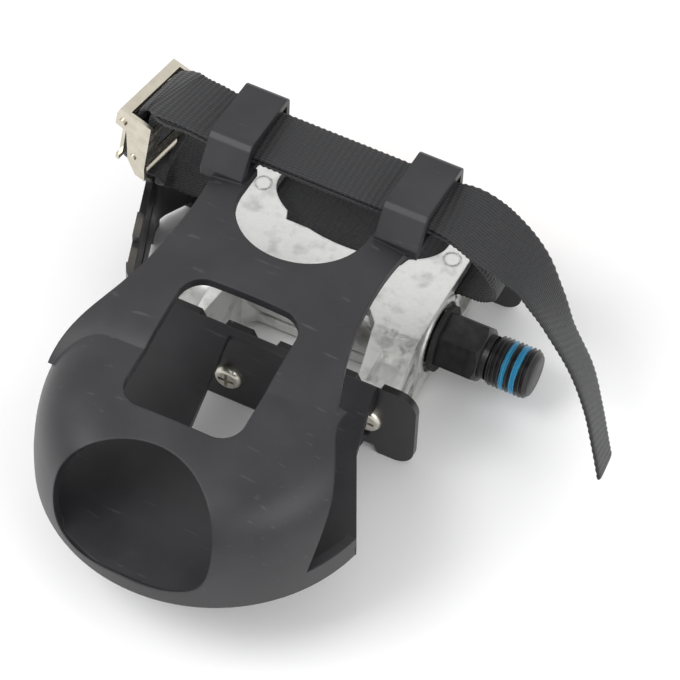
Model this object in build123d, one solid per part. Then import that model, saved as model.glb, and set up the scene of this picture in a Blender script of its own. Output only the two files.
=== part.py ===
"""Toe clip pedal, right-hand side.

Frame: +X runs along the spindle towards the crank, -Y towards the toes, +Z up.
The origin is on the spindle's axis, where its thread starts.  Millimetres.
"""
from build123d import *
import math
import os

os.makedirs("parts", exist_ok=True)

# Spindle, from the crank thread outwards
THREAD_R = 14.28 / 2
THREAD_END = 12.5
THREAD_START = -0.4
NECK_R = 6.35
NECK_LEN = 1.8
HEX_FLATS = 15.0
HEX_LEN = 14.5
SEAL_T = 1.3
SHAFT_R = 5.6
TIP_R = 3.5
RUN_FIT = 0.06

# Bearings
BALL_R = 1.98
IN_BALL_X = -19.6
IN_BALL_CIRCLE = 7.7
IN_BALLS = 11
OUT_BALL_X = -73.2
OUT_BALL_CIRCLE = 6.9
OUT_BALLS = 10
CUP_R = 10.4
CUP_WIDTH = 4.6
CONE_LEN = 5.2
WASHER_T = 1.2
NUT_LEN = 3.6
NUT_FLATS = 11.0

# Cast body
MID_X = -50.2
BARREL_R = 12.2
BARREL_IN = -16.3
BARREL_OUT = -83.6
BORE_R = 8.4
PLATE_TOP = 12.5
PLATE_T = 3.4
ARM_SCREW_DX = 29.0
FLANK_DX = 4.4
NOTCH_HALF = 26.0
NOTCH_FLOOR = 6.8
NOTCH_SHOULDER = 20.5
STRAP_SLOT_LOW = 5.6

# Cross-head screws that hold the band
SCREW_R = 2.0
SCREW_DEPTH = 9.0
SCREW_HEAD_R = 4.1
SCREW_HEAD_H = 2.2

# Steel band round the body
BAND_T = 2.0
BAND_HALF_H = 14.0
FRONT_FACE = -31.6
REAR_FACE = 28.4
BAND_END_FRONT = -7.5
BAND_END_REAR = -4.5
LOOP_TIP_X = -109.5

# Toe clip
SHEET = 2.7
TAB_HALF = 31.0
RIM_F = 83.0
RIM_RIGHT = (43.6, 44.2, 41.6, 36.4, 28.5, 18.4)
RIM_LEFT = (41.6, 38.6, 34.6, 29.0, 23.5, 18.4)
BASE_TOP = 14.0
BOWL_F = 73.0
BOWL_SHIFT = 3.2
BOWL_R = 47.3
BOWL_H = 33.7
BOWL_TILT = 4.0
DECK_CROWN = 3.0
CUTOUT_R = 18.4
CUTOUT_F = 16.6
WINDOW_HALF = 17.0
WINDOW_F0 = 49.0
WINDOW_F1 = 90.0
LOOP_IN = 19.5
LOOP_OUT = 31.9
LOOP_BACK = -12.2
LOOP_FRONT = 10.0
LOOP_BOTTOM = 48.0
CLIP_BOLT_DX = 11.5
CLIP_BOLT_Z = -3.0

# Strap and buckle
STRAP_W = 18.0
STRAP_T = 1.6
STRAP_PITCH = 1.9
BUCKLE_AT = (-105.0, 6.5, 37.2)
BUCKLE_SLOPE = 82.0
BUCKLE_YAW = -10.0
BUCKLE_HALF = 11.6
BUCKLE_WALL = 1.1
BUCKLE_TOP = 8.0
BUCKLE_LOW = -10.0
BAR_AT = (-8.5, 0.3)
BAR_R = 1.0
ANCHOR_AT = (-13.0, -3.0)
PIN_AT = (3.0, 5.2)
LEVER_PIN_R = 1.2
LEVER_T = 1.1

# Reflector
REFLECTOR_HALF = 30.0
REFLECTOR_DEPTH = 7.0
PEG_DX = 18.0
PEG_R = 2.0


def save(name, shape):
    """Write one node: a solid, or a group of separate solids."""
    export_step(shape, os.path.join("parts", name + ".step"))


def block(x0, x1, y0, y1, z0, z1):
    """Box between two corners."""
    size = Box(x1 - x0, y1 - y0, z1 - z0)
    return Pos((x0 + x1) / 2, (y0 + y1) / 2, (z0 + z1) / 2) * size


def rod_x(radius, x0, x1, y=0.0, z=0.0):
    """Round bar along X."""
    return Pos((x0 + x1) / 2, y, z) * Rot(0, 90, 0) * Cylinder(radius, abs(x1 - x0))


def rod_y(radius, y0, y1, x, z):
    """Round bar along Y."""
    return Pos(x, (y0 + y1) / 2, z) * Rot(90, 0, 0) * Cylinder(radius, abs(y1 - y0))


def turned_x(points):
    """Solid of revolution about the X axis from (x, radius) points."""
    outline = Polyline(*[(x, 0, r) for x, r in points], close=True)
    return revolve(make_face(outline), Axis.X)


def plan(points, z0, z1):
    """Prism over a closed (x, y) outline, between two heights."""
    outline = Polyline(*[(x, y, z0) for x, y in points], close=True)
    return extrude(make_face(outline), z1 - z0, dir=(0, 0, 1))


def side_prism(points, x0, x1):
    """Prism along X over a closed (forward, height) outline; forward is -Y."""
    outline = Polyline(*[(x0, -f, z) for f, z in points], close=True)
    return extrude(make_face(outline), x1 - x0, dir=(1, 0, 0))


def front_prism(points, y0, y1):
    """Prism along Y over a closed (x, z) outline."""
    outline = Polyline(*[(x, y0, z) for x, z in points], close=True)
    return extrude(make_face(outline), y1 - y0, dir=(0, 1, 0))


def race(ball_x, circle):
    """Ring that a row of balls sweeps, with its running clearance."""
    return Pos(ball_x, 0, 0) * Rot(0, 90, 0) * Torus(circle, BALL_R + RUN_FIT)


# Spindle with its integral inboard cone

hex_r = HEX_FLATS / math.sqrt(3)
hex_end = THREAD_START - NECK_LEN
cone_end = IN_BALL_X - BALL_R - 1.0
shaft_out = OUT_BALL_X - 2.6
nut_out = shaft_out - CONE_LEN + 2.6 - WASHER_T - NUT_LEN


def make_spindle():
    """Thread, neck, spanner hexagon, race, taper and outboard thread in one turning."""
    body = turned_x([
        (THREAD_END, 0), (THREAD_END, THREAD_R - 1.3), (THREAD_END - 1.3, THREAD_R),
        (THREAD_START, THREAD_R), (THREAD_START, NECK_R),
        (-HEX_LEN, NECK_R), (-HEX_LEN - SEAL_T, IN_BALL_CIRCLE - 0.7),
        (IN_BALL_X - 0.8, IN_BALL_CIRCLE - 0.7), (cone_end, SHAFT_R),
        (-42, SHAFT_R - 0.6), (-66, SHAFT_R - 1.4), (-68, TIP_R),
        (nut_out - 0.3, TIP_R), (nut_out - 0.3, 0)])
    hexagon = extrude(Plane.YZ * Rot(0, 0, 9) * RegularPolygon(hex_r, 6), HEX_LEN + hex_end)
    hexagon = Pos(-HEX_LEN, 0, 0) * hexagon
    bevel = turned_x([
        (hex_end, 0), (hex_end, HEX_FLATS / 2 - 0.2), (hex_end - 1.2, hex_r + 0.1), (-HEX_LEN, hex_r + 0.1),
        (-HEX_LEN, 0)])
    return body + (hexagon & bevel) - race(IN_BALL_X, IN_BALL_CIRCLE)


spindle = make_spindle()
save("spindle", spindle)

seal_r0 = IN_BALL_CIRCLE - 0.7 + 0.0
seal = rod_x(9.6, -HEX_LEN - SEAL_T, -HEX_LEN) - rod_x(seal_r0, -HEX_LEN - SEAL_T, -HEX_LEN)
save("spindle_seal", seal)


def make_cup(ball_x, circle, outward):
    """Pressed race ring: it opens on the side that outward (+1 or -1) names."""
    x0 = ball_x - outward * (CUP_WIDTH / 2 + 0.3)
    x1 = x0 + outward * CUP_WIDTH
    ring = rod_x(CUP_R, min(x0, x1), max(x0, x1))
    throat = rod_x(circle + 0.7, min(x0, x1), max(x0, x1))
    mouth = rod_x(circle + 1.5, min(ball_x, x1), max(ball_x, x1))
    return ring - throat - mouth - race(ball_x, circle)


save("inboard_cup", make_cup(IN_BALL_X, IN_BALL_CIRCLE, 1))
save("outboard_cup", make_cup(OUT_BALL_X, OUT_BALL_CIRCLE, -1))


def ball_row(ball_x, circle, count):
    """Balls spread evenly round their circle, each a separate solid."""
    balls = []
    for i in range(count):
        turn = 2 * math.pi * i / count
        balls.append(Pos(ball_x, circle * math.cos(turn), circle * math.sin(turn)) * Sphere(BALL_R))
    return Compound(balls)


save("inboard_balls", ball_row(IN_BALL_X, IN_BALL_CIRCLE, IN_BALLS))
save("outboard_balls", ball_row(OUT_BALL_X, OUT_BALL_CIRCLE, OUT_BALLS))

cone_in = OUT_BALL_X + 2.6
cone_out = cone_in - CONE_LEN
cone = turned_x([
    (cone_in, TIP_R), (cone_in, OUT_BALL_CIRCLE - 1.6), (OUT_BALL_X + 0.8, OUT_BALL_CIRCLE - 0.7),
    (cone_out, OUT_BALL_CIRCLE - 0.7), (cone_out, TIP_R)])
save("outboard_cone", cone - race(OUT_BALL_X, OUT_BALL_CIRCLE))

washer_out = cone_out - WASHER_T
save("lock_washer", rod_x(5.6, washer_out, cone_out) - rod_x(TIP_R, washer_out, cone_out))

lock_nut_out = washer_out - NUT_LEN
nut = Pos(lock_nut_out, 0, 0) * extrude(Plane.YZ * RegularPolygon(NUT_FLATS / math.sqrt(3), 6), NUT_LEN)
save("lock_nut", nut - rod_x(TIP_R, lock_nut_out, washer_out))


# Cast body

cup_in_seat = IN_BALL_X - CUP_WIDTH / 2 - 0.3
cup_out_seat = OUT_BALL_X + CUP_WIDTH / 2 + 0.3
arm_x = ARM_SCREW_DX
low = -PLATE_TOP


def arm_outline(side):
    """Front arm and rear arm of one side, in plan; side is -1 outboard, +1 inboard."""
    edge = arm_x + FLANK_DX
    front = [
        (MID_X + side * (arm_x - 15), -6), (MID_X + side * (arm_x - 9), -13),
        (MID_X + side * (arm_x - 5.2), FRONT_FACE), (MID_X + side * (arm_x + 6.4), FRONT_FACE),
        (MID_X + side * edge, -14), (MID_X + side * edge, -6)]
    rear = [
        (MID_X + side * (NOTCH_HALF - 10), 4), (MID_X + side * (NOTCH_HALF - 1), REAR_FACE),
        (MID_X + side * (arm_x + 3), REAR_FACE), (MID_X + side * edge, 19),
        (MID_X + side * edge, 4)]
    return front, rear


def make_body():
    """Barrel, top and bottom faces, four arms with pockets, strap slots and bores."""
    body = rod_x(BARREL_R, BARREL_OUT, BARREL_IN)
    edge = arm_x + FLANK_DX
    for up in (-1, 1):
        z0, z1 = sorted((up * PLATE_TOP, up * (PLATE_TOP - PLATE_T)))
        body += block(MID_X - edge, MID_X + edge, -9.4, 8, z0, z1)
    for side in (-1, 1):
        front, rear = arm_outline(side)
        body += plan(front, low, PLATE_TOP)
        body += plan(rear, low, PLATE_TOP)
    # the top and bottom faces fall away towards the toes
    for up in (-1, 1):
        slope = side_prism(
            [(13, up * PLATE_TOP), (40, up * 7.4), (40, up * 20), (13, up * 20)],
            MID_X - 50, MID_X + 50)
        body -= slope
    # the notch behind the barrel, a wide shallow curve
    centre_y = NOTCH_SHOULDER
    notch = extrude(Plane.XY.offset(low - 1) * Pos(MID_X, centre_y) *
                    Ellipse(NOTCH_HALF, centre_y - NOTCH_FLOOR), 2 * PLATE_TOP + 2)
    notch += block(MID_X - NOTCH_HALF, MID_X + NOTCH_HALF, centre_y, 40, low - 1, PLATE_TOP + 1)
    body -= notch - rod_x(BARREL_R, BARREL_OUT, BARREL_IN)
    # strap slots through the rear arms, just under the top face
    body -= block(MID_X - 50, MID_X + 50, 9.0, REAR_FACE + 1, STRAP_SLOT_LOW, PLATE_TOP - PLATE_T)
    # triangular pockets in the outer flanks of the arms
    for side in (-1, 1):
        x0 = MID_X + side * (arm_x + 2.2)
        x1 = MID_X + side * (arm_x + 12)
        for heights in ((2.0, 7.0), (-9.0, -2.0)):
            pocket = side_prism(
                [(14.5, heights[0]), (28.5, heights[0]), (28.5, heights[1] - 1), (14.5, heights[1])],
                min(x0, x1), max(x0, x1))
            body -= pocket
        rear_pocket = side_prism(
            [(-13.5, -9), (-25.5, -9), (-25.5, 2), (-13.5, 3)], min(x0, x1), max(x0, x1))
        body -= rear_pocket
    # long hollow inside the front arms' top faces
    for side in (-1, 1):
        hollow = block(MID_X + side * arm_x - 3.4, MID_X + side * arm_x + 3.4, -29.5, -19.5, 8.4, 14)
        body -= hollow
    # bores and seats
    body -= rod_x(BORE_R, BARREL_OUT - 1, BARREL_IN + 1)
    body -= rod_x(CUP_R, cup_in_seat, BARREL_IN + 1)
    body -= rod_x(CUP_R, BARREL_OUT - 1, cup_out_seat)
    # screw holes in the arms' ends
    for side in (-1, 1):
        x = MID_X + side * arm_x
        body -= rod_y(SCREW_R, FRONT_FACE - 1, FRONT_FACE + SCREW_DEPTH, x, 0)
        body -= rod_y(SCREW_R, REAR_FACE - SCREW_DEPTH, REAR_FACE + 1, x, 0)
    # moulded rings with a cross slot on the top face
    for side in (-1, 1):
        for y in (16.6, -16.8):
            ring = Cylinder(2.6, 0.6) - Cylinder(2.1, 0.6)
            body -= Pos(MID_X + side * arm_x, y, PLATE_TOP - 0.1) * ring
    return body


body = make_body()
save("pedal_body", body)


def make_dust_cap():
    """Shallow dome on a skirt that plugs the barrel's outboard end."""
    skirt_end = BARREL_OUT + 4.0
    cap = turned_x([
        (skirt_end, CUP_R - 1.5), (skirt_end, CUP_R), (BARREL_OUT, CUP_R), (BARREL_OUT, 11.6),
        (BARREL_OUT - 2.2, 11.2), (BARREL_OUT - 4.0, 9.2), (BARREL_OUT - 5.0, 5.4),
        (BARREL_OUT - 5.3, 0), (BARREL_OUT - 3.6, 0), (BARREL_OUT - 3.2, 5.4),
        (BARREL_OUT - 1.6, CUP_R - 1.5)])
    return cap


save("dust_cap", make_dust_cap())


# Steel band

front_mid = FRONT_FACE - BAND_T / 2
rear_mid = REAR_FACE + BAND_T / 2


def band_path():
    """Centre line of the band in plan, open at its inboard ends."""
    corners = [
        (BAND_END_FRONT, front_mid), (-95.5, front_mid), (LOOP_TIP_X, 9), (-98.0, rear_mid),
        (BAND_END_REAR, rear_mid)]
    path = FilletPolyline(*corners, radius=9.0)
    return path


def tail_trim(x_end, y0, y1):
    """What is cut from a band end to leave a rounded fish-tail lobe."""
    half = BAND_HALF_H
    lobe = extrude(Plane.XZ.offset(-y1) * Pos(x_end - 9, 0) * RectangleRounded(18, 2 * half, 6.0), y1 - y0)
    return block(x_end - 9, x_end + 2, y0, y1, -half - 1, half + 1) - lobe


def make_band():
    """Upright strip along the path, with toothed edges, tails, slot and screw holes."""
    path = band_path()
    across = Plane(origin=path @ 0, x_dir=(0, 0, 1), z_dir=path % 0)
    band = sweep(across * Rectangle(2 * BAND_HALF_H, BAND_T), path=path)
    # gullets between the teeth, cut from both edges of both long sides
    for up in (-1, 1):
        edge = up * BAND_HALF_H
        deep = up * (BAND_HALF_H - 2.6)
        far = up * (BAND_HALF_H + 2)
        for y0, y1, shift in ((FRONT_FACE - 4, FRONT_FACE + 2, 0.0), (REAR_FACE - 2, REAR_FACE + 4, 2.0)):
            for i in range(5):
                x = -88.0 + i * 15.5 + shift
                gullet = [(x, far), (x, edge), (x + 1.2, deep), (x + 6.8, deep), (x + 8.0, edge), (x + 8.0, far)]
                band -= front_prism(gullet, y0, y1)
        # narrow neck before each fish tail
        for y0, y1 in ((FRONT_FACE - 4, FRONT_FACE + 2), (REAR_FACE - 2, REAR_FACE + 4)):
            waist = Pos(-17.2, 0, up * (BAND_HALF_H + 2.5)) * Rot(90, 0, 0) * Cylinder(8.0, 20)
            band -= waist & block(-40, 0, y0, y1, -30, 30)
        # stepped edge round the outboard loop
        for y0, y1 in ((-27.0, -18.0), (-10.0, 2.0), (9.0, 19.0)):
            band -= block(-115, -93, y0, y1, min(deep, far), max(deep, far))
    band -= tail_trim(BAND_END_FRONT, FRONT_FACE - 4, FRONT_FACE + 2)
    band -= tail_trim(BAND_END_REAR, REAR_FACE - 2, REAR_FACE + 4)
    # slanted slot in the loop's front flank
    slot = Pos(-100.5, -9, -1) * Rot(14, 0, 0) * Box(22, 25, 2.6)
    band -= slot
    return band


band = make_band()
for side in (-1, 1):
    x = MID_X + side * arm_x
    band -= rod_y(SCREW_R + 0.1, FRONT_FACE - 4, FRONT_FACE + 1, x, 0)
    band -= rod_y(SCREW_R + 0.1, REAR_FACE - 1, REAR_FACE + 4, x, 0)
    band -= rod_y(2.6, FRONT_FACE - 4, FRONT_FACE + 1, MID_X + side * CLIP_BOLT_DX, CLIP_BOLT_Z)
    band -= rod_y(PEG_R + 0.1, REAR_FACE - 1, REAR_FACE + 4, MID_X + side * PEG_DX, 0)
save("cage", band)


def pan_screw(shank_r, shank_len, head_r, head_h):
    """Screw pointing along +Y from the head's seat at y = 0, with a cross recess."""
    head = Pos(0, -head_h / 2, 0) * Rot(90, 0, 0) * Cylinder(head_r, head_h)
    head = fillet(head.edges().group_by(Axis.Y)[0], head_h * 0.7)
    shank = Pos(0, shank_len / 2, 0) * Rot(90, 0, 0) * Cylinder(shank_r, shank_len)
    cross = Box(0.9, 2.4, head_r * 1.2) + Box(head_r * 1.2, 2.4, 0.9)
    return head + shank - Pos(0, -head_h, 0) * cross


band_front_out = FRONT_FACE - BAND_T
band_rear_out = REAR_FACE + BAND_T
screws = []
for side in (-1, 1):
    x = MID_X + side * arm_x
    screw = pan_screw(SCREW_R, SCREW_DEPTH + BAND_T - 0.5, SCREW_HEAD_R, SCREW_HEAD_H)
    screws.append(Pos(x, band_front_out, 0) * screw)
    screws.append(Pos(x, band_rear_out, 0) * Rot(0, 0, 180) * screw)
save("cage_screws", Compound(screws))


# Toe clip: one moulded sheet with a tab, an open floor, a bowl and two strap loops

TAB_BACK = FRONT_FACE - BAND_T
tab_front = TAB_BACK - SHEET
floor_low = BASE_TOP - SHEET


def bowl(inset):
    """Filled bowl turned from its flank profile, drawn in by inset, tilted to the toes."""
    top = BOWL_H - inset
    wide = BOWL_R - inset
    outline = Spline(
        (0, top), (0.33 * wide, 0.988 * top), (0.57 * wide, 0.95 * top), (0.76 * wide, 0.885 * top),
        (0.885 * wide, 0.745 * top), (0.965 * wide, 0.46 * top), (0.995 * wide, 0.12 * top), (wide, -8.0))
    start = outline @ 0
    end = outline @ 1
    rim = Polyline((end.X, end.Y), (0, end.Y), (start.X, start.Y))
    half = make_face(Curve() + [outline, rim])
    solid = revolve(Plane.XZ * half, Axis.Z)
    return Pos(MID_X + BOWL_SHIFT, -BOWL_F, BASE_TOP) * Rot(BOWL_TILT, 0, 0) * solid


def deck(inset, half_width):
    """Filled arch that carries the window and the arms, swept along its side profile."""
    path = Spline(
        (MID_X, -8, 50.8), (MID_X, -30, 52.2), (MID_X, -48, 52.0), (MID_X, -60, 50.9),
        (MID_X, -72, 48.6), (MID_X, -79, 45.4), (MID_X, -86, 40.0))
    sag = DECK_CROWN * (half_width / 30.0) ** 2
    start = path @ 0
    section = Plane(origin=start, x_dir=(1, 0, 0), z_dir=path % 0)
    top = -inset
    arch = ThreePointArc((-half_width, top - sag), (0, top), (half_width, top - sag))
    under = Polyline((half_width, top - sag), (half_width, -22), (-half_width, -22), (-half_width, top - sag))
    face = make_face(Curve() + [arch, under])
    up = section.to_local_coords(start + Vector(0, 0, 1)).Y
    if up < 0:
        face = Rot(0, 0, 180) * face
    return sweep(section * face, path=path)


def deck_plan():
    """Waisted outline of the deck from the arms to the bowl, in plan."""
    neck = [(29.9, 8.5), (28.3, 17), (27.7, 27), (28.0, 36), (29.2, 46)]
    right = neck + [(31.8, 57), (35.0, 67), (38.2, 77), (39.4, 84)]
    left = neck + [(32.2, 57), (36.4, 67), (40.2, 77), (41.2, 84)]
    edge_r = Spline(*[(MID_X + dx, -f) for dx, f in right])
    edge_l = Spline(*[(MID_X - dx, -f) for dx, f in left])
    back = Line((MID_X - left[0][0], -left[0][1]), (MID_X + right[0][0], -right[0][1]))
    front = Line((MID_X - left[-1][0], -left[-1][1]), (MID_X + right[-1][0], -right[-1][1]))
    return make_face(Curve() + [edge_r, edge_l, back, front])


def window_cutter():
    """Rounded rectangle through the deck."""
    shape = RectangleRounded(2 * WINDOW_HALF, WINDOW_F1 - WINDOW_F0, 6.5)
    return extrude(Plane.XY.offset(30) * Pos(MID_X, -(WINDOW_F0 + WINDOW_F1) / 2) * shape, 40)


def arm_gap():
    """Round-bottomed gap between the two arms."""
    half = CUTOUT_R
    gap = Pos(MID_X, -CUTOUT_F, 45) * Cylinder(half, 40)
    return gap + block(MID_X - half, MID_X + half, -CUTOUT_F, 20, 25, 65)


def side_opening(side, rim_heights):
    """Everything below one side's rim, seen from the side, from the middle outwards."""
    rim = Spline(*zip((62, 74, 81, 88, 94, 98.4), rim_heights))
    rest = Polyline((98.4, rim_heights[-1]), (RIM_F, rim_heights[-1]), (RIM_F, 5), (-20, 5),
                    (-20, rim_heights[0]), (62, rim_heights[0]))
    face = make_face(Curve() + [rim, rest])
    place = Plane(origin=(MID_X - side * 0.5, 0, 0), x_dir=(0, -1, 0), z_dir=(-1, 0, 0))
    return extrude(place * face, -side * 70)


def toe_opening():
    """Egg-shaped hole through the front of the bowl, square to its slope."""
    slope = Plane(origin=(MID_X, -109.2, 30.4), x_dir=(1, 0, 0), z_dir=(0, -25.0, 26.0))
    outline = Spline(
        (0, 18.0), (11.5, 15.2), (20.2, 7.5), (23.4, -3.5), (21.0, -12.6), (12.0, -17.0), (0, -17.6),
        (-12.0, -17.0), (-21.0, -12.6), (-23.4, -3.5), (-20.2, 7.5), (-11.5, 15.2), periodic=True)
    return extrude(slope * make_face(outline), 22, both=True)


def strap_loop(side):
    """Closed loop at an arm's end that the strap passes through."""
    outer = [
        (LOOP_BACK, LOOP_BOTTOM), (LOOP_BACK, 55.9), (LOOP_BACK + 0.5, 57.1), (LOOP_BACK + 1.6, 57.8),
        (LOOP_FRONT - 2.0, 59.3), (LOOP_FRONT - 0.4, 59.1), (LOOP_FRONT + 0.8, 58.0),
        (LOOP_FRONT + 5.5, LOOP_BOTTOM + 2.9), (LOOP_FRONT + 5.5, LOOP_BOTTOM)]
    inner = [
        (LOOP_BACK + 1.8, LOOP_BOTTOM + 2.0), (LOOP_BACK + 1.8, 55.4), (LOOP_FRONT - 1.2, 57.1),
        (LOOP_FRONT + 2.6, LOOP_BOTTOM + 2.0)]
    x0 = MID_X + side * LOOP_IN
    x1 = MID_X + side * LOOP_OUT
    x0, x1 = min(x0, x1), max(x0, x1)
    return side_prism(outer, x0, x1) - side_prism(inner, x0 - 1, x1 + 1)


def make_toe_clip():
    """Bowl and deck as one shell, opened up, then the floor, the tab and the loops."""
    outer = bowl(0.0)
    outline = extrude(Plane.XY.offset(20) * deck_plan(), 50)
    outer += deck(0.0, 46.0) & outline
    inner = bowl(SHEET)
    wide = extrude(Plane.XY.offset(20) * deck_plan(), 50)
    inner += deck(SHEET, 46.0) & wide
    shell = outer - inner
    shell -= side_opening(1, RIM_RIGHT) + side_opening(-1, RIM_LEFT)
    shell -= block(-150, 50, -200, 50, -20, floor_low)
    behind = block(MID_X - 60, MID_X + 60, -66, 30, 0, 70) - outline
    shell -= behind
    shell -= window_cutter()
    shell -= toe_opening()
    shell -= arm_gap()
    # floor: a fan from the tab to the bowl's rim, with a tapering opening
    rim_l = MID_X + BOWL_SHIFT - BOWL_R
    rim_r = MID_X + BOWL_SHIFT + BOWL_R
    fan = plan(
        [(MID_X - TAB_HALF, tab_front + 0.5), (rim_l + 1.0, -80), (rim_l + 1.0, -RIM_F),
         (rim_r - 1.0, -RIM_F), (MID_X + 35.6, -55), (MID_X + TAB_HALF, tab_front + 0.5)],
        floor_low, BASE_TOP)
    disc = bowl(SHEET * 0.5) & block(-150, 50, -200, -RIM_F, floor_low, BASE_TOP)
    opening = plan(
        [(MID_X - 12, tab_front), (MID_X - 6.0, -73), (MID_X + 6.0, -73), (MID_X + 12, tab_front)],
        floor_low - 1, BASE_TOP + 1)
    floor = fan + disc - opening
    tab = front_prism(
        [(MID_X - TAB_HALF, BASE_TOP), (MID_X - TAB_HALF + 0.6, -4), (MID_X - TAB_HALF + 4, -BAND_HALF_H),
         (MID_X + TAB_HALF - 4, -BAND_HALF_H), (MID_X + TAB_HALF - 0.6, -4), (MID_X + TAB_HALF, BASE_TOP)],
        tab_front, TAB_BACK)
    for side in (-1, 1):
        tab -= rod_y(2.6, tab_front - 1, TAB_BACK + 1, MID_X + side * CLIP_BOLT_DX, CLIP_BOLT_Z)
        tab -= rod_y(SCREW_HEAD_R + 0.5, tab_front - 1, TAB_BACK + 1, MID_X + side * arm_x, 0)
    clip = shell + floor + tab
    for side in (-1, 1):
        clip += strap_loop(side)
    return max(clip.solids(), key=lambda solid: solid.volume)


toe_clip = make_toe_clip()
save("toe_clip", toe_clip)


# Bolts that hold the toe clip to the band

bolts = []
washers = []
nuts = []
for side in (-1, 1):
    x = MID_X + side * CLIP_BOLT_DX
    grip = SHEET + BAND_T
    bolt = pan_screw(2.45, grip + 6.4, 4.0, 2.4)
    bolts.append(Pos(x, tab_front, CLIP_BOLT_Z) * bolt)
    washer = rod_y(4.8, FRONT_FACE, FRONT_FACE + 0.9, x, CLIP_BOLT_Z)
    washers.append(washer - rod_y(2.5, FRONT_FACE, FRONT_FACE + 0.9, x, CLIP_BOLT_Z))
    hexagon = Plane.XZ.offset(-FRONT_FACE - 0.9 - 4.0) * Pos(x, CLIP_BOLT_Z) * RegularPolygon(4.6, 6)
    nut_body = extrude(hexagon, 4.0)
    nuts.append(nut_body - rod_y(2.45, FRONT_FACE, FRONT_FACE + 6, x, CLIP_BOLT_Z))
save("clip_bolts", Compound(bolts))
save("clip_washers", Compound(washers))
save("clip_nuts", Compound(nuts))


# Reflector behind the band

def make_housing():
    """Moulded bar with a chamfered top, a groove, a lens pocket and two pegs."""
    y0 = band_rear_out
    y1 = y0 + REFLECTOR_DEPTH
    outline = [(-y0, -10), (-y0, 13.5), (-y0 - 1.6, 15.5), (-y1 + 1.8, 15.5), (-y1, 13.0), (-y1, -8.4), (-y1 + 1.6, -10)]
    housing = side_prism(outline, MID_X - REFLECTOR_HALF, MID_X + REFLECTOR_HALF)
    housing -= block(MID_X - 26, MID_X + 26, y0 + 2.2, y0 + 3.4, 14.7, 16)
    housing -= block(MID_X - 27.5, MID_X + 27.5, y1 - 2.4, y1 + 1, -7.6, 12.4)
    for side in (-1, 1):
        housing += rod_y(PEG_R, REAR_FACE - 1.0, y0, MID_X + side * PEG_DX, 0)
        housing -= rod_y(SCREW_HEAD_R + 0.4, y0 - 1, y0 + SCREW_HEAD_H + 0.4, MID_X + side * arm_x, 0)
    return housing


save("reflector_housing", make_housing())
lens_back = band_rear_out + REFLECTOR_DEPTH - 2.4
lens = block(MID_X - 27.4, MID_X + 27.4, lens_back, lens_back + 2.0, -7.5, 12.3)
for i in range(17):
    groove_x = MID_X - 24.0 + i * 3.0
    lens -= Pos(groove_x, lens_back + 2.0, 2.4) * Rot(0, 0, 45) * Box(0.7, 0.7, 19)
save("reflector_lens", lens)


# Cam buckle: its own frame has x up the strap, z out of it

place = Pos(*BUCKLE_AT) * Rot(0, 0, BUCKLE_YAW) * Rot(0, -BUCKLE_SLOPE, 0)


def at_buckle(x, y, z):
    """Point of the buckle's own frame in the pedal's frame."""
    return (place * Pos(x, y, z)).position


def cross_rod(radius, half, x, z):
    """Round bar across the buckle."""
    return Pos(x, 0, z) * Rot(90, 0, 0) * Cylinder(radius, 2 * half)


def make_buckle_frame():
    """Folded channel: base, two cheeks with eyes, a top bar and an anchor bar."""
    inside = BUCKLE_HALF - BUCKLE_WALL
    base = block(BUCKLE_LOW, BUCKLE_TOP, -BUCKLE_HALF, BUCKLE_HALF, -3.9, -2.8)
    base -= block(-7.5, 4.5, -6.5, 6.5, -5, -2)
    base -= block(4.5, BUCKLE_TOP + 1, -inside, inside, -5, -2)
    frame = base
    cheek = [
        (BUCKLE_LOW - 5.0, -4.6), (BUCKLE_LOW - 5.0, -1.4), (BUCKLE_LOW - 0.5, 1.8), (0.2, 3.6), (0.8, 7.4),
        (5.4, 7.4), (BUCKLE_TOP, 6.6), (BUCKLE_TOP, -3.9), (BUCKLE_LOW, -3.9)]
    for side in (-1, 1):
        y0 = min(side * inside, side * BUCKLE_HALF)
        outline = Polyline(*[(x, y0, z) for x, z in cheek], close=True)
        frame += extrude(make_face(outline), BUCKLE_WALL, dir=(0, 1, 0))
    frame += block(BUCKLE_TOP - 1.4, BUCKLE_TOP, -inside, inside, 3.6, 6.6)
    frame += cross_rod(1.1, inside, *ANCHOR_AT)
    frame -= cross_rod(LEVER_PIN_R, BUCKLE_HALF + 1, *PIN_AT)
    frame -= cross_rod(BAR_R, BUCKLE_HALF + 1, *BAR_AT)
    return frame


def make_lever():
    """Cam hub with teeth, two arms, a slotted end plate and side tabs."""
    x, z = PIN_AT
    width = BUCKLE_HALF - BUCKLE_WALL - 0.4
    hub = cross_rod(1.85, width, x, z)
    plate = block(-13.4, x, -width, width, z - LEVER_T / 2, z + LEVER_T / 2)
    plate -= block(-6.2, 0.6, -7.2, 7.2, z - 2, z + 2)
    plate -= block(-10.6, -9.2, -5.5, 5.5, z - 2, z + 2)
    plate += block(-13.4, -11.4, -BUCKLE_HALF, BUCKLE_HALF, z - LEVER_T / 2, z + LEVER_T / 2)
    tongue = block(-17.5, -13.4, -4.6, 4.6, z - LEVER_T / 2, z + LEVER_T / 2)
    lever = hub + plate + tongue
    for i in range(7):
        lever -= Pos(x - 0.2, -7.5 + 2.5 * i, z - 1.85) * Rot(0, 90, 0) * Cylinder(0.45, 3)
    return lever - cross_rod(LEVER_PIN_R + RUN_FIT, BUCKLE_HALF + 1, x, z)


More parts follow.
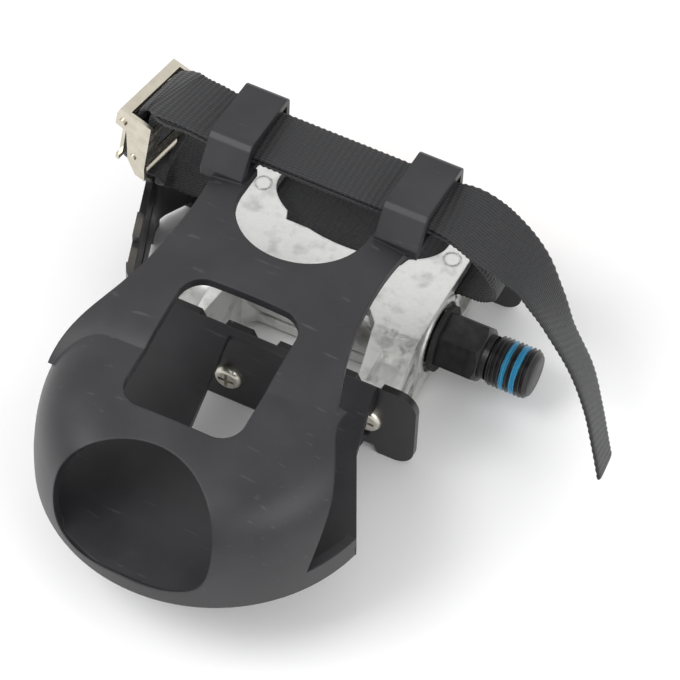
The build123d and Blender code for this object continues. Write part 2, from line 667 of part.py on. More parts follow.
def make_lever_tip():
    """Moulded finger pad over the lever's tongue."""
    x, z = PIN_AT
    tip = block(-20.0, -13.4, -6.2, 6.2, z - 1.6, z + 1.6)
    tip = fillet(tip.edges().filter_by(Axis.Z).group_by(Axis.X)[0], 1.8)
    tip = fillet(tip.edges().group_by(Axis.Z)[-1], 0.6)
    return tip - block(-17.5, -13.4, -4.6, 4.6, z - LEVER_T / 2, z + LEVER_T / 2)


save("buckle_frame", place * make_buckle_frame())
save("buckle_bar", place * cross_rod(BAR_R, BUCKLE_HALF + 0.4, *BAR_AT))
save("lever_pin", place * cross_rod(LEVER_PIN_R, BUCKLE_HALF + 0.6, *PIN_AT))
save("buckle_lever", place * make_lever())
save("lever_tip", place * make_lever_tip())


# Strap: one length of webbing, from the anchor bar round to its free tip

low_y = REAR_FACE - STRAP_W / 2 - 0.2
low_z = (STRAP_SLOT_LOW + PLATE_TOP - PLATE_T) / 2
loop_z = LOOP_BOTTOM + 2.0 + STRAP_T / 2 + 0.5
loop_y = -(LOOP_BACK + 1.8 + LOOP_FRONT - 1.2) / 2
tail_z = loop_z + STRAP_PITCH

flat = (0, 1, 0)
buckle_across = tuple((place * Pos(0, 1, 0)).position - Vector(*BUCKLE_AT))
turn_r = BAR_R + STRAP_T / 2 + 0.1
anchor_r = 1.1 + STRAP_T / 2 + 0.1


def around(centre, radius, angles):
    """Stations round a bar of the buckle, at angles in its x-z plane."""
    x, z = centre
    return [
        (at_buckle(x + radius * math.cos(math.radians(a)), 0, z + radius * math.sin(math.radians(a))),
         buckle_across) for a in angles]


strap_route = around(ANCHOR_AT, anchor_r, (0, 45, 90, 135, 180, 215)) + [
    ((-102.6, 9.4, 18.2), flat), ((-98.4, 12.8, 13.0), flat), ((-93.6, 16.2, 9.6), flat),
    ((-89.2, low_y - 0.6, 7.9), flat), ((-84.0, low_y, low_z), flat),
    ((-65, low_y, low_z), flat), ((-45, low_y, low_z), flat), ((-28, low_y, low_z), flat),
    ((-17.0, low_y, low_z), flat), ((-9.5, 18.2, 9.8), flat), ((-4.5, 15.4, 16.5), flat),
    ((-2.6, 11.5, 25.0), flat), ((-3.4, 7.6, 34.0), flat), ((-7.0, 4.4, 42.5), flat),
    ((-12.5, 2.2, 48.6), flat), ((-18.5, loop_y, loop_z), flat), ((-35, loop_y, loop_z), flat),
    ((-50, loop_y, loop_z), flat), ((-66, loop_y, loop_z), flat), ((-82, loop_y, loop_z), flat),
    ((-90.0, 2.0, loop_z - 0.6), flat), ((-97.0, 3.6, loop_z - 2.6), flat),
    (at_buckle(11.2, 0, -3.6), buckle_across), (at_buckle(8.4, 0, -1.6), buckle_across),
    (at_buckle(4.0, 0, -1.7), buckle_across),
    (at_buckle(-3.0, 0, -1.8), buckle_across)] + around(BAR_AT, turn_r, (270, 225, 180, 135, 90)) + [
    (at_buckle(-3.0, 0, 2.2), buckle_across), (at_buckle(4.5, 0, 2.3), buckle_across),
    (at_buckle(9.0, 0, 1.6), buckle_across), (at_buckle(12.0, 0, -1.4), buckle_across),
    ((-98.0, 3.8, tail_z - 2.2), flat), ((-90.4, 2.0, tail_z - 0.4), flat), ((-82, loop_y, tail_z), flat),
    ((-66, loop_y, tail_z), flat), ((-50, loop_y, tail_z), flat), ((-35, loop_y, tail_z), flat),
    ((-18.3, loop_y, tail_z - 0.1), flat), ((-11.0, 1.5, 51.6), (0.0, 0.97, 0.22)),
    ((-5.0, 1.4, 48.9), (0.0, 0.92, 0.38)), ((1.5, 1.7, 44.6), (-0.08, 0.96, 0.25)),
    ((8.1, 0.6, 40.2), (-0.16, 0.98, 0.06)), ((13.6, -2.1, 36.2), (-0.12, 0.97, -0.18)),
    ((20.0, -6.1, 32.1), (0.0, 0.86, -0.5)), ((29.4, -11.6, 25.9), (0.04, 0.78, -0.62)),
    ((35.8, -17.1, 19.4), (0.0, 0.73, -0.68)), ((41.1, -22.9, 13.2), (0.0, 0.7, -0.71)),
    ((45.2, -27.5, 8.2), (0.0, 0.7, -0.71))]


def make_strap():
    """Loft of thin rectangles along the route."""
    centres = [Vector(*p) if isinstance(p, tuple) else p for p, _ in strap_route]
    sections = []
    for i, (_, across) in enumerate(strap_route):
        before = centres[max(i - 1, 0)]
        after = centres[min(i + 1, len(centres) - 1)]
        along = (after - before).normalized()
        wide = Vector(*across)
        wide = (wide - along * wide.dot(along)).normalized()
        plane = Plane(origin=centres[i], x_dir=wide, z_dir=along)
        sections.append(plane * Rectangle(STRAP_W, STRAP_T))
    return loft(sections, ruled=True)


strap = make_strap()

save("strap", strap)
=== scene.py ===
# %% [markdown]
# A toe clip pedal, dressed for a photograph.
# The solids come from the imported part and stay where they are.  This lesson gives each of them a
# finish, and replaces two of them: the strap becomes woven webbing, and the plain end of the
# spindle gets its thread.

import math

import bpy
import numpy as np
from mathutils import Matrix, Vector


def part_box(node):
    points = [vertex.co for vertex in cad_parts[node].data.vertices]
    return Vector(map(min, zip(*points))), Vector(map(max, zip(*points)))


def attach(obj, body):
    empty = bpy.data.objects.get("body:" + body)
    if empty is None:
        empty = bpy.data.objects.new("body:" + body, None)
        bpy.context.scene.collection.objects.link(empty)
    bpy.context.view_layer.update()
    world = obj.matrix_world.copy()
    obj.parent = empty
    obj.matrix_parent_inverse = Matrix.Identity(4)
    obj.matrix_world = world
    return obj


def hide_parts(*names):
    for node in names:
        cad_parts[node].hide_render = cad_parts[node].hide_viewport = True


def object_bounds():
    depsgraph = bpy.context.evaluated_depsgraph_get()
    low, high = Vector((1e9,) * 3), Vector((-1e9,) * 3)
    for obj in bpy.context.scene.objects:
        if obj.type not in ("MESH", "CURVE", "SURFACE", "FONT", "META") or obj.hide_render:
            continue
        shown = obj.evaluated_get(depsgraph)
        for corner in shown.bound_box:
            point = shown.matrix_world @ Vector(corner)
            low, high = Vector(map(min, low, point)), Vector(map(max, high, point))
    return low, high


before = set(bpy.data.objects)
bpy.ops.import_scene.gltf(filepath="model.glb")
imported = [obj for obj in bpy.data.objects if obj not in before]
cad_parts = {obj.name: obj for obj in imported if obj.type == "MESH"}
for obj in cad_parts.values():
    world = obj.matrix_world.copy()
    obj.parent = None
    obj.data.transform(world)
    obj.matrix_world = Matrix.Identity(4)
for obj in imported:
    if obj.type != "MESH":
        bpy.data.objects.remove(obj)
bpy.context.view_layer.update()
MM = 0.001

# %% [markdown]
# Colours are given as sRGB hex, but shader sockets want linear light.  One function turns
# the first into the second.  One more function adds any shader node, sets it up and links it, so
# that a material reads as a short list of nodes.

# %% Colour and node helpers
def linear(code):
    """Hex sRGB to linear RGBA: divide by 12.92 in the dark end, and raise to 2.4 elsewhere."""
    parts = [int(code[i:i + 2], 16) / 255 for i in (0, 2, 4)]
    return [p / 12.92 if p <= 0.04045 else ((p + 0.055) / 1.055) ** 2.4 for p in parts] + [1.0]


def add(tree, kind, sockets=None, **settings):
    """Adds a node, sets its properties, then fills its sockets with values or other outputs."""
    node = tree.nodes.new("ShaderNode" + kind)
    for name, value in settings.items():
        setattr(node, name, value)
    for name, value in (sockets or {}).items():
        if isinstance(value, bpy.types.NodeSocket):
            tree.links.new(value, node.inputs[name])
        else:
            node.inputs[name].default_value = value
    return node


def finish_named(name, **constants):
    """Material with a shader whose plain numbers are set on its own sockets."""
    material = bpy.data.materials.new(name)
    material.use_nodes = True
    tree = material.node_tree
    shader = tree.nodes["Principled BSDF"]
    for socket, value in constants.items():
        shader.inputs[socket.replace("_", " ")].default_value = value
    return material, tree, shader


def grains(tree, size_mm, stretch=(1, 1, 1), detail=3.0):
    """Noise whose lumps are size_mm across, drawn out along an axis where stretch is under 1."""
    place = add(tree, "TexCoord").outputs["Object"]
    spread = add(tree, "Mapping", {"Vector": place, "Scale": stretch}).outputs["Vector"]
    noise = add(tree, "TexNoise", {"Vector": spread, "Scale": 1 / (size_mm * MM), "Detail": detail})
    return noise.outputs["Fac"]


def between(tree, fac, low, high, out_low, out_high):
    """Straight ramp from one range of numbers to another, held at its ends."""
    return add(tree, "MapRange", {
        "Value": fac, "From Min": low, "From Max": high, "To Min": out_low, "To Max": out_high,
    }).outputs["Result"]


def two_tone(tree, fac, dark, light):
    """Colour between two hex codes."""
    ramp = add(tree, "ValToRGB", {"Fac": fac})
    ramp.color_ramp.elements[0].color = linear(dark)
    ramp.color_ramp.elements[1].color = linear(light)
    return ramp.outputs["Color"]


def relief(tree, shader, height, deep_mm, strength=1.0, edge_mm=0.0):
    """Bump of a real depth, over edges that look rounded by edge_mm where that is given."""
    sockets = {"Height": height, "Distance": deep_mm * MM, "Strength": strength}
    if edge_mm:
        sockets["Normal"] = add(tree, "Bevel", {"Radius": edge_mm * MM}, samples=3).outputs["Normal"]
    bump = add(tree, "Bump", sockets)
    tree.links.new(bump.outputs["Normal"], shader.inputs["Normal"])


# %% [markdown]
# Moulded nylon.  The toe clip, the reflector's bar, the bearing cap and the lever's pad are black
# glass-filled nylon out of a mould with a fine spark texture.  It scatters light softly, and every
# rub with a shoe leaves a thin grey scuff.  Scuffs are noise drawn out across the pedal, cut off
# so that only its peaks show.

# %% Moulded nylon
def moulded_nylon():
    """Near-black, half matt, with spark texture and scuffs."""
    material, tree, shader = finish_named("moulded_nylon", IOR=1.53, Specular_IOR_Level=0.45)
    spark = grains(tree, 0.5)
    cloud = grains(tree, 14.0)
    scuff = between(tree, grains(tree, 1.6, (0.16, 1.0, 1.0), 6.0), 0.64, 0.72, 0.0, 0.55)
    haze = between(tree, cloud, 0.35, 0.7, 0.0, 0.18)
    worn = add(tree, "Math", {0: scuff, 1: haze}, operation="MAXIMUM").outputs[0]
    tree.links.new(two_tone(tree, worn, "1c1b1e", "454448"), shader.inputs["Base Color"])
    tree.links.new(between(tree, worn, 0.0, 1.0, 0.4, 0.66), shader.inputs["Roughness"])
    relief(tree, shader, spark, 0.05, 0.6, 0.7)
    return material


# %% [markdown]
# Painted steel.  The cage is a bent strip with black stove enamel, smoother than the nylon, so its
# edges catch brighter lights.  Small chips show the grey steel.

# %% Painted steel
def stove_enamel():
    """Black enamel with a light orange peel and a few chips."""
    material, tree, shader = finish_named("stove_enamel", IOR=1.5, Coat_Weight=0.25, Coat_Roughness=0.25)
    chip = between(tree, grains(tree, 2.2, detail=8.0), 0.70, 0.73, 0.0, 1.0)
    tree.links.new(two_tone(tree, chip, "141415", "6f6e6b"), shader.inputs["Base Color"])
    peel = grains(tree, 0.9)
    tree.links.new(between(tree, grains(tree, 9.0), 0.3, 0.7, 0.28, 0.46), shader.inputs["Roughness"])
    relief(tree, shader, peel, 0.03, 0.5)
    return material


# %% [markdown]
# Die-cast aluminium.  The body comes out of its die with a pale, slightly pebbled skin that is
# bright but not polished.  Low places stay dull and high places shine, so one noise drives colour,
# roughness and relief together.

# %% Cast aluminium
def cast_aluminium():
    """Bright pebbled skin of a die casting."""
    material, tree, shader = finish_named("cast_aluminium", Metallic=1.0)
    pebble = grains(tree, 1.1, detail=5.0)
    patch = grains(tree, 5.0, detail=6.0)
    tree.links.new(two_tone(tree, between(tree, patch, 0.25, 0.5, 0.0, 1.0), "bdbdbb", "e0e0de"),
                   shader.inputs["Base Color"])
    tree.links.new(between(tree, pebble, 0.3, 0.7, 0.34, 0.56), shader.inputs["Roughness"])
    relief(tree, shader, pebble, 0.1, 0.6, 0.7)
    return material


# %% [markdown]
# Turned steel.  The spindle, cups and nut come off a lathe, whose tool leaves fine rings round the
# axis.  Noise squeezed along X and long in the other two directions gives rings that follow the
# turning.

# %% Turned steel
def turned_steel():
    """Bright steel with tool rings round the spindle's axis."""
    material, tree, shader = finish_named("turned_steel", Metallic=1.0)
    ring = grains(tree, 0.35, (1.0, 0.02, 0.02))
    tree.links.new(two_tone(tree, grains(tree, 5.0), "a9a8a4", "dcdbd7"), shader.inputs["Base Color"])
    tree.links.new(between(tree, ring, 0.3, 0.7, 0.22, 0.4), shader.inputs["Roughness"])
    relief(tree, shader, ring, 0.03, 0.4)
    return material


# %% [markdown]
# Black oxide.  The spindle is turned and then blackened in a hot salt bath, so it stays smooth and
# slightly oily, and only its edges shine grey.  Two rings of blue thread-locking compound were
# painted round the thread at the factory.  They are placed by their distance along X.

# %% Black oxide and locking compound
LOCK_RINGS_MM = ((4.2, 5.6), (7.4, 9.0))


def black_oxide(name, rings=()):
    """Blackened steel, with blue rings where X lies between the given pairs of millimetres."""
    material, tree, shader = finish_named(name, Coat_Weight=0.2, Coat_Roughness=0.3)
    ring = grains(tree, 0.35, (1.0, 0.02, 0.02))
    colour = two_tone(tree, grains(tree, 3.0), "1d1c1d", "3a3839")
    rough = between(tree, ring, 0.3, 0.7, 0.3, 0.48)
    metal = between(tree, grains(tree, 2.0), 0.3, 0.7, 0.45, 0.75)
    if rings:
        place = add(tree, "TexCoord").outputs["Object"]
        x = add(tree, "SeparateXYZ", {"Vector": place}).outputs["X"]
        ragged = add(tree, "Math", {0: grains(tree, 1.2), 1: 0.5 * MM, 2: x}, operation="MULTIPLY_ADD").outputs[0]
        painted = None
        for start, end in rings:
            half = (end - start) / 2 * MM
            middle = (start + end) / 2 * MM + 0.25 * MM
            off = add(tree, "Math", {0: ragged, 1: middle, 2: half}, operation="COMPARE").outputs[0]
            painted = off if painted is None else add(
                tree, "Math", {0: painted, 1: off}, operation="MAXIMUM").outputs[0]
        blue = add(tree, "Mix", data_type="RGBA")
        blue.inputs[7].default_value = linear("2f8fb8")
        tree.links.new(painted, blue.inputs[0])
        tree.links.new(colour, blue.inputs[6])
        colour = blue.outputs[2]
        metal = add(tree, "Math", {0: metal, 1: painted}, operation="SUBTRACT", use_clamp=True).outputs[0]
    tree.links.new(colour, shader.inputs["Base Color"])
    tree.links.new(rough, shader.inputs["Roughness"])
    tree.links.new(metal, shader.inputs["Metallic"])
    return material


# %% [markdown]
# Zinc and nickel.  Screws are zinc plated, a little warm and cloudy.  The buckle is nickel plated,
# which is smoother and yellower, with finger marks that change only its roughness.

# %% Plated steel
def plated(name, dark, light, smooth, dull):
    """Plating that differs in colour and in how cloudy it is."""
    material, tree, shader = finish_named(name, Metallic=1.0)
    cloud = grains(tree, 3.0, detail=4.0)
    tree.links.new(two_tone(tree, cloud, dark, light), shader.inputs["Base Color"])
    tree.links.new(between(tree, cloud, 0.3, 0.7, smooth, dull), shader.inputs["Roughness"])
    relief(tree, shader, grains(tree, 0.4), 0.02, 0.3)
    return material


# %% [markdown]
# Lens and seal.  The reflector's lens is clear amber plastic, glossy over its prisms.  The seal is
# plain black rubber.

# %% Amber lens and rubber
def amber_plastic():
    """Glossy orange moulding."""
    material, tree, shader = finish_named("amber_acrylic", IOR=1.49, Roughness=0.12, Coat_Weight=0.4)
    tree.links.new(two_tone(tree, grains(tree, 4.0), "d8640a", "f08c1c"), shader.inputs["Base Color"])
    return material


def seal_rubber():
    """Dull black rubber with a fine bloom."""
    material, tree, shader = finish_named("seal_rubber", IOR=1.52)
    tree.links.new(two_tone(tree, grains(tree, 2.0), "131313", "242424"), shader.inputs["Base Color"])
    tree.links.new(between(tree, grains(tree, 1.0), 0.3, 0.7, 0.6, 0.8), shader.inputs["Roughness"])
    return material


# %% [markdown]
# Webbing finish.  The strap's ribs are real geometry further down.  The material adds what is
# smaller: single yarns across each rib, read from the strap's own UV map, whose first value is the
# distance along the strap and whose second is the distance round it, both in metres.  Their colour
# carries painted light on each yarn's crest and painted shade in the groove between yarns.

# %% Woven nylon
YARN_MM = 0.8


def woven_nylon():
    """Black yarn with a soft sheen, painted lighter on its crests and darker in its grooves."""
    material, tree, shader = finish_named("woven_nylon", IOR=1.53, Sheen_Weight=0.25, Sheen_Roughness=0.4)
    own = add(tree, "UVMap", uv_map="along_round").outputs["UV"]
    split = add(tree, "SeparateXYZ", {"Vector": own})
    turns = add(tree, "Math", {0: split.outputs["Y"], 1: 2 * math.pi / (YARN_MM * MM)}, operation="MULTIPLY")
    yarn = add(tree, "Math", {0: turns.outputs[0]}, operation="SINE").outputs[0]
    raised = between(tree, yarn, -1.0, 1.0, 0.0, 1.0)
    fuzz = grains(tree, 0.7)
    # Painted light and shade: colour follows the yarn height, lighter on crests and darker in grooves, times a
    # random fuzz.
    fuzz_and_painted_yarn_shading = add(tree, "Math", {0: raised, 1: fuzz}, operation="MULTIPLY").outputs[0]
    tree.links.new(two_tone(tree, fuzz_and_painted_yarn_shading, "101011", "35363a"), shader.inputs["Base Color"])
    tree.links.new(between(tree, fuzz, 0.3, 0.7, 0.6, 0.85), shader.inputs["Roughness"])
    relief(tree, shader, raised, 0.09, 0.8)
    return material


# %% Finish of each node
nylon = moulded_nylon()
enamel = stove_enamel()
steel = turned_steel()
oxide = black_oxide("black_oxide")
locked_thread = black_oxide("black_oxide_with_locking_rings", LOCK_RINGS_MM)
zinc = plated("zinc_plate", "b9b5a8", "dedbd0", 0.24, 0.42)
nickel = plated("nickel_plate", "b7b0a0", "ded8ca", 0.16, 0.34)
webbing = woven_nylon()
finishes = {
    "pedal_body": cast_aluminium(), "cage": enamel, "toe_clip": nylon, "dust_cap": nylon,
    "reflector_housing": nylon, "lever_tip": nylon, "reflector_lens": amber_plastic(),
    "spindle_seal": seal_rubber(), "cage_screws": zinc, "clip_bolts": zinc, "clip_washers": zinc,
    "clip_nuts": zinc, "buckle_frame": nickel, "buckle_bar": nickel, "lever_pin": nickel,
    "buckle_lever": nickel, "strap": webbing,
    "spindle": oxide,
}
for node_name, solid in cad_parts.items():
    for material_slot in solid.material_slots:
        material_slot.material = finishes.get(node_name, steel)
print("finishes", len(set(finishes.values())) + 1)

# %% [markdown]
# A grid of points as a mesh.  Every new piece below is a surface on a grid: rows run along it and
# columns run round it.  Quads join neighbours, the last column joins the first, and one flat face
# closes each end.

# %% Grid to mesh
def tube(name, grid, along=None, round_it=None):
    """Closed tube through grid[row, column], with flat ends and an optional UV map in metres."""
    rows, columns = grid.shape[:2]
    index = np.arange(rows * columns).reshape(rows, columns)
    turned = np.roll(index, -1, axis=1)
    quads = np.stack([index[:-1], turned[:-1], turned[1:], index[1:]], axis=-1).reshape(-1, 4)
    faces = quads.tolist() + [index[0, ::-1].tolist(), index[-1].tolist()]
    mesh = bpy.data.meshes.new(name)
    mesh.from_pydata(grid.reshape(-1, 3).tolist(), [], faces)
    if along is not None:
        corner = np.empty(len(mesh.loops), dtype=np.int32)
        mesh.loops.foreach_get("vertex_index", corner)
        pair = np.stack([along.reshape(-1)[corner], round_it.reshape(-1)[corner]], axis=-1)
        layer = mesh.uv_layers.new(name="along_round")
        layer.data.foreach_set("uv", pair.astype(np.float32).ravel())
    mesh.shade_smooth()
    piece = bpy.data.objects.new(name, mesh)
    bpy.context.collection.objects.link(piece)
    return piece


# %% [markdown]
# The spindle's thread.  It is 14.3 mm across with 20 turns to the inch.  A thread is a turned
# surface whose radius rises and falls along a line that climbs one pitch a turn, so the radius is
# a triangle wave of x / pitch - angle / turn.  A right-hand thread climbs as the angle grows.
# The rest of the spindle is a copy of its solid without the plain end.

# %% Thread
PITCH = 25.4 / 20
THREAD_DEEP = 0.68
BEVEL = 1.3
blank_low, blank_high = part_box("spindle")
THREAD_END = blank_high.x / MM
THREAD_R = 14.28 / 2
THREAD_START = -0.4


def spindle_thread():
    """Radius is the crest less a triangle wave, and no more than the bevel at either end allows."""
    x = np.linspace(THREAD_START, THREAD_END, 170)[:, None]
    turn = np.linspace(0, 1, 96, endpoint=False)[None, :]
    wave = np.abs(2 * ((x / PITCH - turn) % 1) - 1)
    wave = np.clip(wave * 1.25 - 0.12, 0, 1)
    radius = THREAD_R - THREAD_DEEP * wave
    edge = np.minimum(THREAD_END - x, x - THREAD_START)
    radius = np.minimum(radius, THREAD_R - BEVEL + np.clip(edge, 0, BEVEL))
    angle = 2 * math.pi * turn
    grid = np.stack([x + 0 * angle, radius * np.cos(angle), radius * np.sin(angle)], axis=-1) * MM
    return tube("spindle_thread", grid)


def plain_spindle():
    """Copy of the spindle's solid without the triangles of its plain threaded end."""
    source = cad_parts["spindle"].data
    points = np.empty(len(source.vertices) * 3)
    source.vertices.foreach_get("co", points)
    points = points.reshape(-1, 3)
    triangles = np.array([face.vertices[:] for face in source.polygons])
    keep = points[triangles][:, :, 0].min(axis=1) < (THREAD_START - 0.05) * MM
    used, compact = np.unique(triangles[keep], return_inverse=True)
    mesh = bpy.data.meshes.new("spindle_shaft")
    mesh.from_pydata(points[used].tolist(), [], compact.reshape(-1, 3).tolist())
    piece = bpy.data.objects.new("spindle_shaft", mesh)
    bpy.context.collection.objects.link(piece)
    return piece


thread = spindle_thread()
shaft = plain_spindle()
for piece, finish in ((thread, locked_thread), (shaft, oxide)):
    piece.data.materials.append(finish)
    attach(piece, "spindle")
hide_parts("spindle")
print("thread turns", round((THREAD_END - THREAD_START) / PITCH, 1))

# %% [markdown]
# The strap's route.  The webbing is hooked on the buckle's anchor bar, goes through the pedal's
# body, climbs on the crank side, crosses through both loops of the toe clip, turns round the
# buckle's bar and comes back through the loops as the free tail.  Stations are points in
# millimetres with the direction of the strap's width.  Those near the buckle are written in the
# buckle's own frame, x up the strap and z out of it.

# %% Buckle's frame
BUCKLE_AT = np.array([-105.0, 6.5, 37.2])
SLOPE = math.radians(82.0)
YAW = math.radians(-10.0)
spin = np.array(Matrix.Rotation(YAW, 3, "Z") @ Matrix.Rotation(-SLOPE, 3, "Y"))
ACROSS = tuple(spin @ np.array([0.0, 1.0, 0.0]))
FLAT = (0.0, 1.0, 0.0)
BAR = (-8.5, 0.3, 1.9)
ANCHOR = (-13.0, -3.0, 2.0)


def in_buckle(x, z):
    """Station on the buckle's middle line."""
    return tuple(BUCKLE_AT + spin @ np.array([x, 0.0, z])), ACROSS


def around(bar, angles):
    """Stations round a bar, each one radius from its centre at an angle in degrees."""
    x, z, radius = bar
    return [in_buckle(x + radius * math.cos(math.radians(a)), z + radius * math.sin(math.radians(a)))
            for a in angles]


# %% Stations
BODY_Y = 19.2
BODY_Z = 7.35
LOOP_Y = 0.8
LOOP_Z = 51.3
TAIL_Z = LOOP_Z + 1.9
route = around(ANCHOR, (0, 45, 90, 135, 180, 215))
route += [((-102.6, 9.4, 18.2), FLAT), ((-98.4, 12.8, 13.0), FLAT), ((-93.6, 16.2, 9.6), FLAT),
          ((-89.2, BODY_Y - 0.6, 7.9), FLAT)]
route += [((x, BODY_Y, BODY_Z), FLAT) for x in (-84, -65, -45, -28, -17)]
route += [((-9.5, 18.2, 9.8), FLAT), ((-4.5, 15.4, 16.5), FLAT), ((-2.6, 11.5, 25.0), FLAT),
          ((-3.4, 7.6, 34.0), FLAT), ((-7.0, 4.4, 42.5), FLAT), ((-12.5, 2.2, 48.6), FLAT)]
route += [((x, LOOP_Y, LOOP_Z), FLAT) for x in (-18.5, -35, -50, -66, -82)]
route += [((-90.0, 2.0, LOOP_Z - 0.6), FLAT), ((-97.0, 3.6, LOOP_Z - 2.6), FLAT)]
route += [in_buckle(x, z) for x, z in ((11.2, -3.6), (8.4, -1.6), (4.0, -1.7), (-3.0, -1.8))]
route += around(BAR, (270, 225, 180, 135, 90))
route += [in_buckle(x, z) for x, z in ((-3.0, 2.2), (4.5, 2.3), (9.0, 1.6), (12.0, -1.4))]
route += [((-98.0, 3.8, TAIL_Z - 2.2), FLAT), ((-90.4, 2.0, TAIL_Z - 0.4), FLAT)]
route += [((x, LOOP_Y, TAIL_Z), FLAT) for x in (-82, -66, -50, -35)]
route += [
    ((-18.3, LOOP_Y, TAIL_Z - 0.1), FLAT), ((-11.0, 1.5, 51.6), (0.0, 0.97, 0.22)),
    ((-5.0, 1.4, 48.9), (0.0, 0.92, 0.38)), ((1.5, 1.7, 44.6), (-0.08, 0.96, 0.25)),
    ((8.1, 0.6, 40.2), (-0.16, 0.98, 0.06)), ((13.6, -2.1, 36.2), (-0.12, 0.97, -0.18)),
    ((20.0, -6.1, 32.1), (0.0, 0.86, -0.5)), ((29.4, -11.6, 25.9), (0.04, 0.78, -0.62)),
    ((35.8, -17.1, 19.4), (0.0, 0.73, -0.68)), ((41.1, -22.9, 13.2), (0.0, 0.7, -0.71)),
    ((45.2, -27.5, 8.2), (0.0, 0.7, -0.71))]
print("stations", len(route))

# %% [markdown]
# The webbing.  A smooth curve goes through the stations: between two of them it is the cubic that
# meets both points with slopes taken from their neighbours.  A flat section with rounded edges is
# carried along it.  Its thickness swells at each rib, and its edge steps in and out with the same
# beat, as the weft does when it turns back at the selvedge.  The tip is cut on a slant.

# %% Webbing
STRAP_W = 18.0
STRAP_T = 1.6
RIB = 1.7
STEP = 0.34
TIP_CUT = 5.0
TIP_LEN = 22.0


def cubic_route(values, knots, s):
    """Cubic through values at knots, with each slope the mean of its two chords."""
    chord = np.diff(values, axis=0) / np.diff(knots)[:, None]
    slope = np.concatenate([chord[:1], (chord[1:] + chord[:-1]) / 2, chord[-1:]])
    cell = np.clip(np.searchsorted(knots, s, side="right") - 1, 0, len(knots) - 2)
    width = (knots[cell + 1] - knots[cell])[..., None]
    t = ((s - knots[cell])[..., None]) / width
    start = (1 + 2 * t) * (1 - t) ** 2 * values[cell] + t * (1 - t) ** 2 * width * slope[cell]
    end = t * t * (3 - 2 * t) * values[cell + 1] + t * t * (t - 1) * width * slope[cell + 1]
    return start + end


def webbing_strap():
    """Flat section with round edges, ribbed across, carried along the route."""
    centres = np.array([point for point, _ in route])
    widths = np.array([direction for _, direction in route])
    knots = np.concatenate([[0], np.cumsum(np.linalg.norm(np.diff(centres, axis=0), axis=1))])
    length = knots[-1]
    s = np.linspace(0, length, int(length / STEP))[:, None]
    turn = np.linspace(0, 2 * math.pi, 44, endpoint=False)[None, :]
    side = np.sign(np.cos(turn)) * np.abs(np.cos(turn)) ** 0.35
    thick = np.sign(np.sin(turn)) * np.abs(np.sin(turn)) ** 0.6
    beat = np.cos(2 * math.pi * s / RIB)
    lateral = side * (STRAP_W / 2 - 0.12 + 0.12 * beat)
    lift = thick * (STRAP_T / 2 - 0.09 + 0.09 * beat)
    slant = np.clip((s - (length - TIP_LEN)) / TIP_LEN, 0, 1)
    where = s - slant * TIP_CUT * (lateral / STRAP_W + 0.5)
    ahead = cubic_route(centres, knots, np.clip(where + 0.15, 0, length))
    behind = cubic_route(centres, knots, np.clip(where - 0.15, 0, length))
    tangent = ahead - behind
    tangent /= np.linalg.norm(tangent, axis=-1, keepdims=True)
    across = cubic_route(widths, knots, where)
    across -= tangent * np.sum(across * tangent, axis=-1, keepdims=True)
    across /= np.linalg.norm(across, axis=-1, keepdims=True)
    normal = np.cross(tangent, across)
    middle = cubic_route(centres, knots, where)
    grid = (middle + across * lateral[..., None] + normal * lift[..., None]) * MM
    rim = lateral * MM
    return tube("strap_webbing", grid, where * MM, rim), length


strap, strap_length = webbing_strap()
strap.data.materials.append(webbing)
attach(strap, "pedal")
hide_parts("strap")
print("strap length mm", round(strap_length))

# %% [markdown]
# Floor, light and world.  The photograph is a cut-out on white, so the floor and the world answer
# the camera and glossy rays with white, and everything else with a plain level light.

# %% Stage
low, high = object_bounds()
floor_mesh = bpy.data.meshes.new("floor")
reach = 1.5
floor_z = low.z - 0.0002
floor_mesh.from_pydata(
    [(-reach, -reach, floor_z), (reach, -reach, floor_z), (reach, reach, floor_z), (-reach, reach, floor_z)],
    [], [(0, 1, 2, 3)])
floor = bpy.data.objects.new("floor", floor_mesh)
bpy.context.collection.objects.link(floor)
floor_finish, floor_tree, floor_shader = finish_named("paper_floor", Roughness=0.9)
floor_shader.inputs["Base Color"].default_value = linear("fbfbfb")
floor_mesh.materials.append(floor_finish)

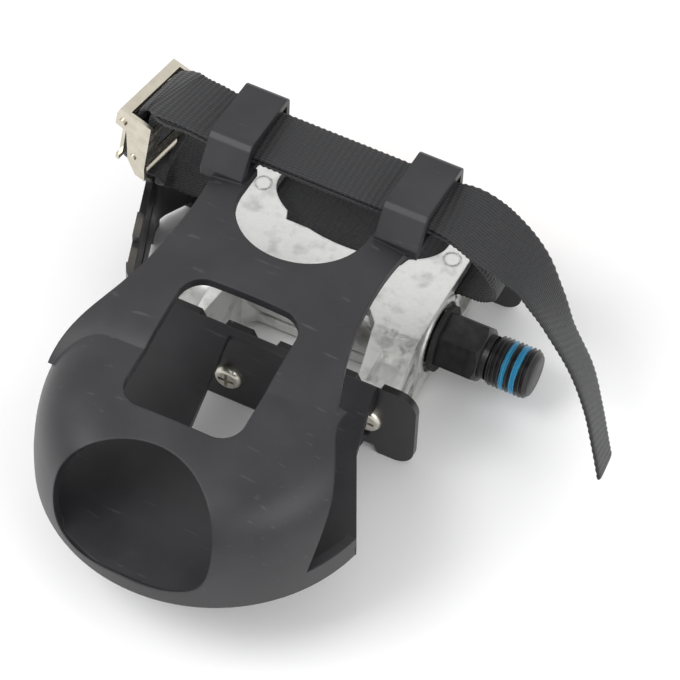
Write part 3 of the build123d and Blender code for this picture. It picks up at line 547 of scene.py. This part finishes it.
world = bpy.data.worlds.new("studio")
bpy.context.scene.world = world
world.use_nodes = True
sky = world.node_tree
seen = add(sky, "LightPath")
bright = add(sky, "Math", {0: seen.outputs["Is Camera Ray"], 1: seen.outputs["Is Glossy Ray"]}, operation="MAXIMUM")
level = between(sky, bright.outputs[0], 0.0, 1.0, 0.75, 1.0)
background = sky.nodes["Background"]
background.inputs["Color"].default_value = (1, 1, 1, 1)
sky.links.new(level, background.inputs["Strength"])


def soft_box(name, place, aim, size, watts):
    """Square area lamp that looks at a point."""
    lamp = bpy.data.lights.new(name, "AREA")
    lamp.size = size
    lamp.energy = watts
    holder = bpy.data.objects.new(name, lamp)
    look = (Vector(aim) - Vector(place)).to_track_quat("-Z", "Y")
    holder.matrix_world = Matrix.LocRotScale(Vector(place), look, None)
    bpy.context.collection.objects.link(holder)


centre = (low + high) / 2
soft_box("key_lamp", centre + Vector((-0.5, -0.5, 0.9)), centre, 0.6, 7.0)
soft_box("fill_lamp", centre + Vector((0.8, -0.3, 0.6)), centre, 0.7, 3.0)
bpy.context.scene.view_settings.view_transform = "Standard"
print("floor at mm", round(floor_z / MM, 2))

# %% [markdown]
# The camera.  Its place and axes were found from the pedal's round and straight edges in the
# photograph.  It keeps that place, turns to the middle of this pedal, and uses a longer lens, so
# the view is the photograph's with the other pedal out of frame.

# %% Camera
EYE = Vector((243.38, -636.84, 863.94)) * MM
RIGHT = Vector((0.8707, 0.4911, -0.0262))
UP = Vector((-0.3634, 0.6784, 0.6385))
AHEAD = Vector((-0.3314, 0.5464, -0.7692))
FOCAL_PX = 2193.2
PEDAL_PX = (504.0, 392.0)
ENLARGE = 1.85
SENSOR = 36.0
aim = AHEAD * FOCAL_PX + RIGHT * (PEDAL_PX[0] - 340) - UP * (PEDAL_PX[1] - 340)
aim.normalize()
side_way = aim.cross(UP).normalized()
up_way = side_way.cross(aim)
camera_data = bpy.data.cameras.new("camera")
camera_data.sensor_width = SENSOR
camera_data.lens = FOCAL_PX * SENSOR / 680 * ENLARGE
camera_data.clip_start = 0.05
camera = bpy.data.objects.new("camera", camera_data)
turned = Matrix((side_way, up_way, -aim)).transposed()
camera.matrix_world = Matrix.Translation(EYE) @ turned.to_4x4()
bpy.context.collection.objects.link(camera)
bpy.context.scene.camera = camera
print("lens mm", round(camera_data.lens, 1))
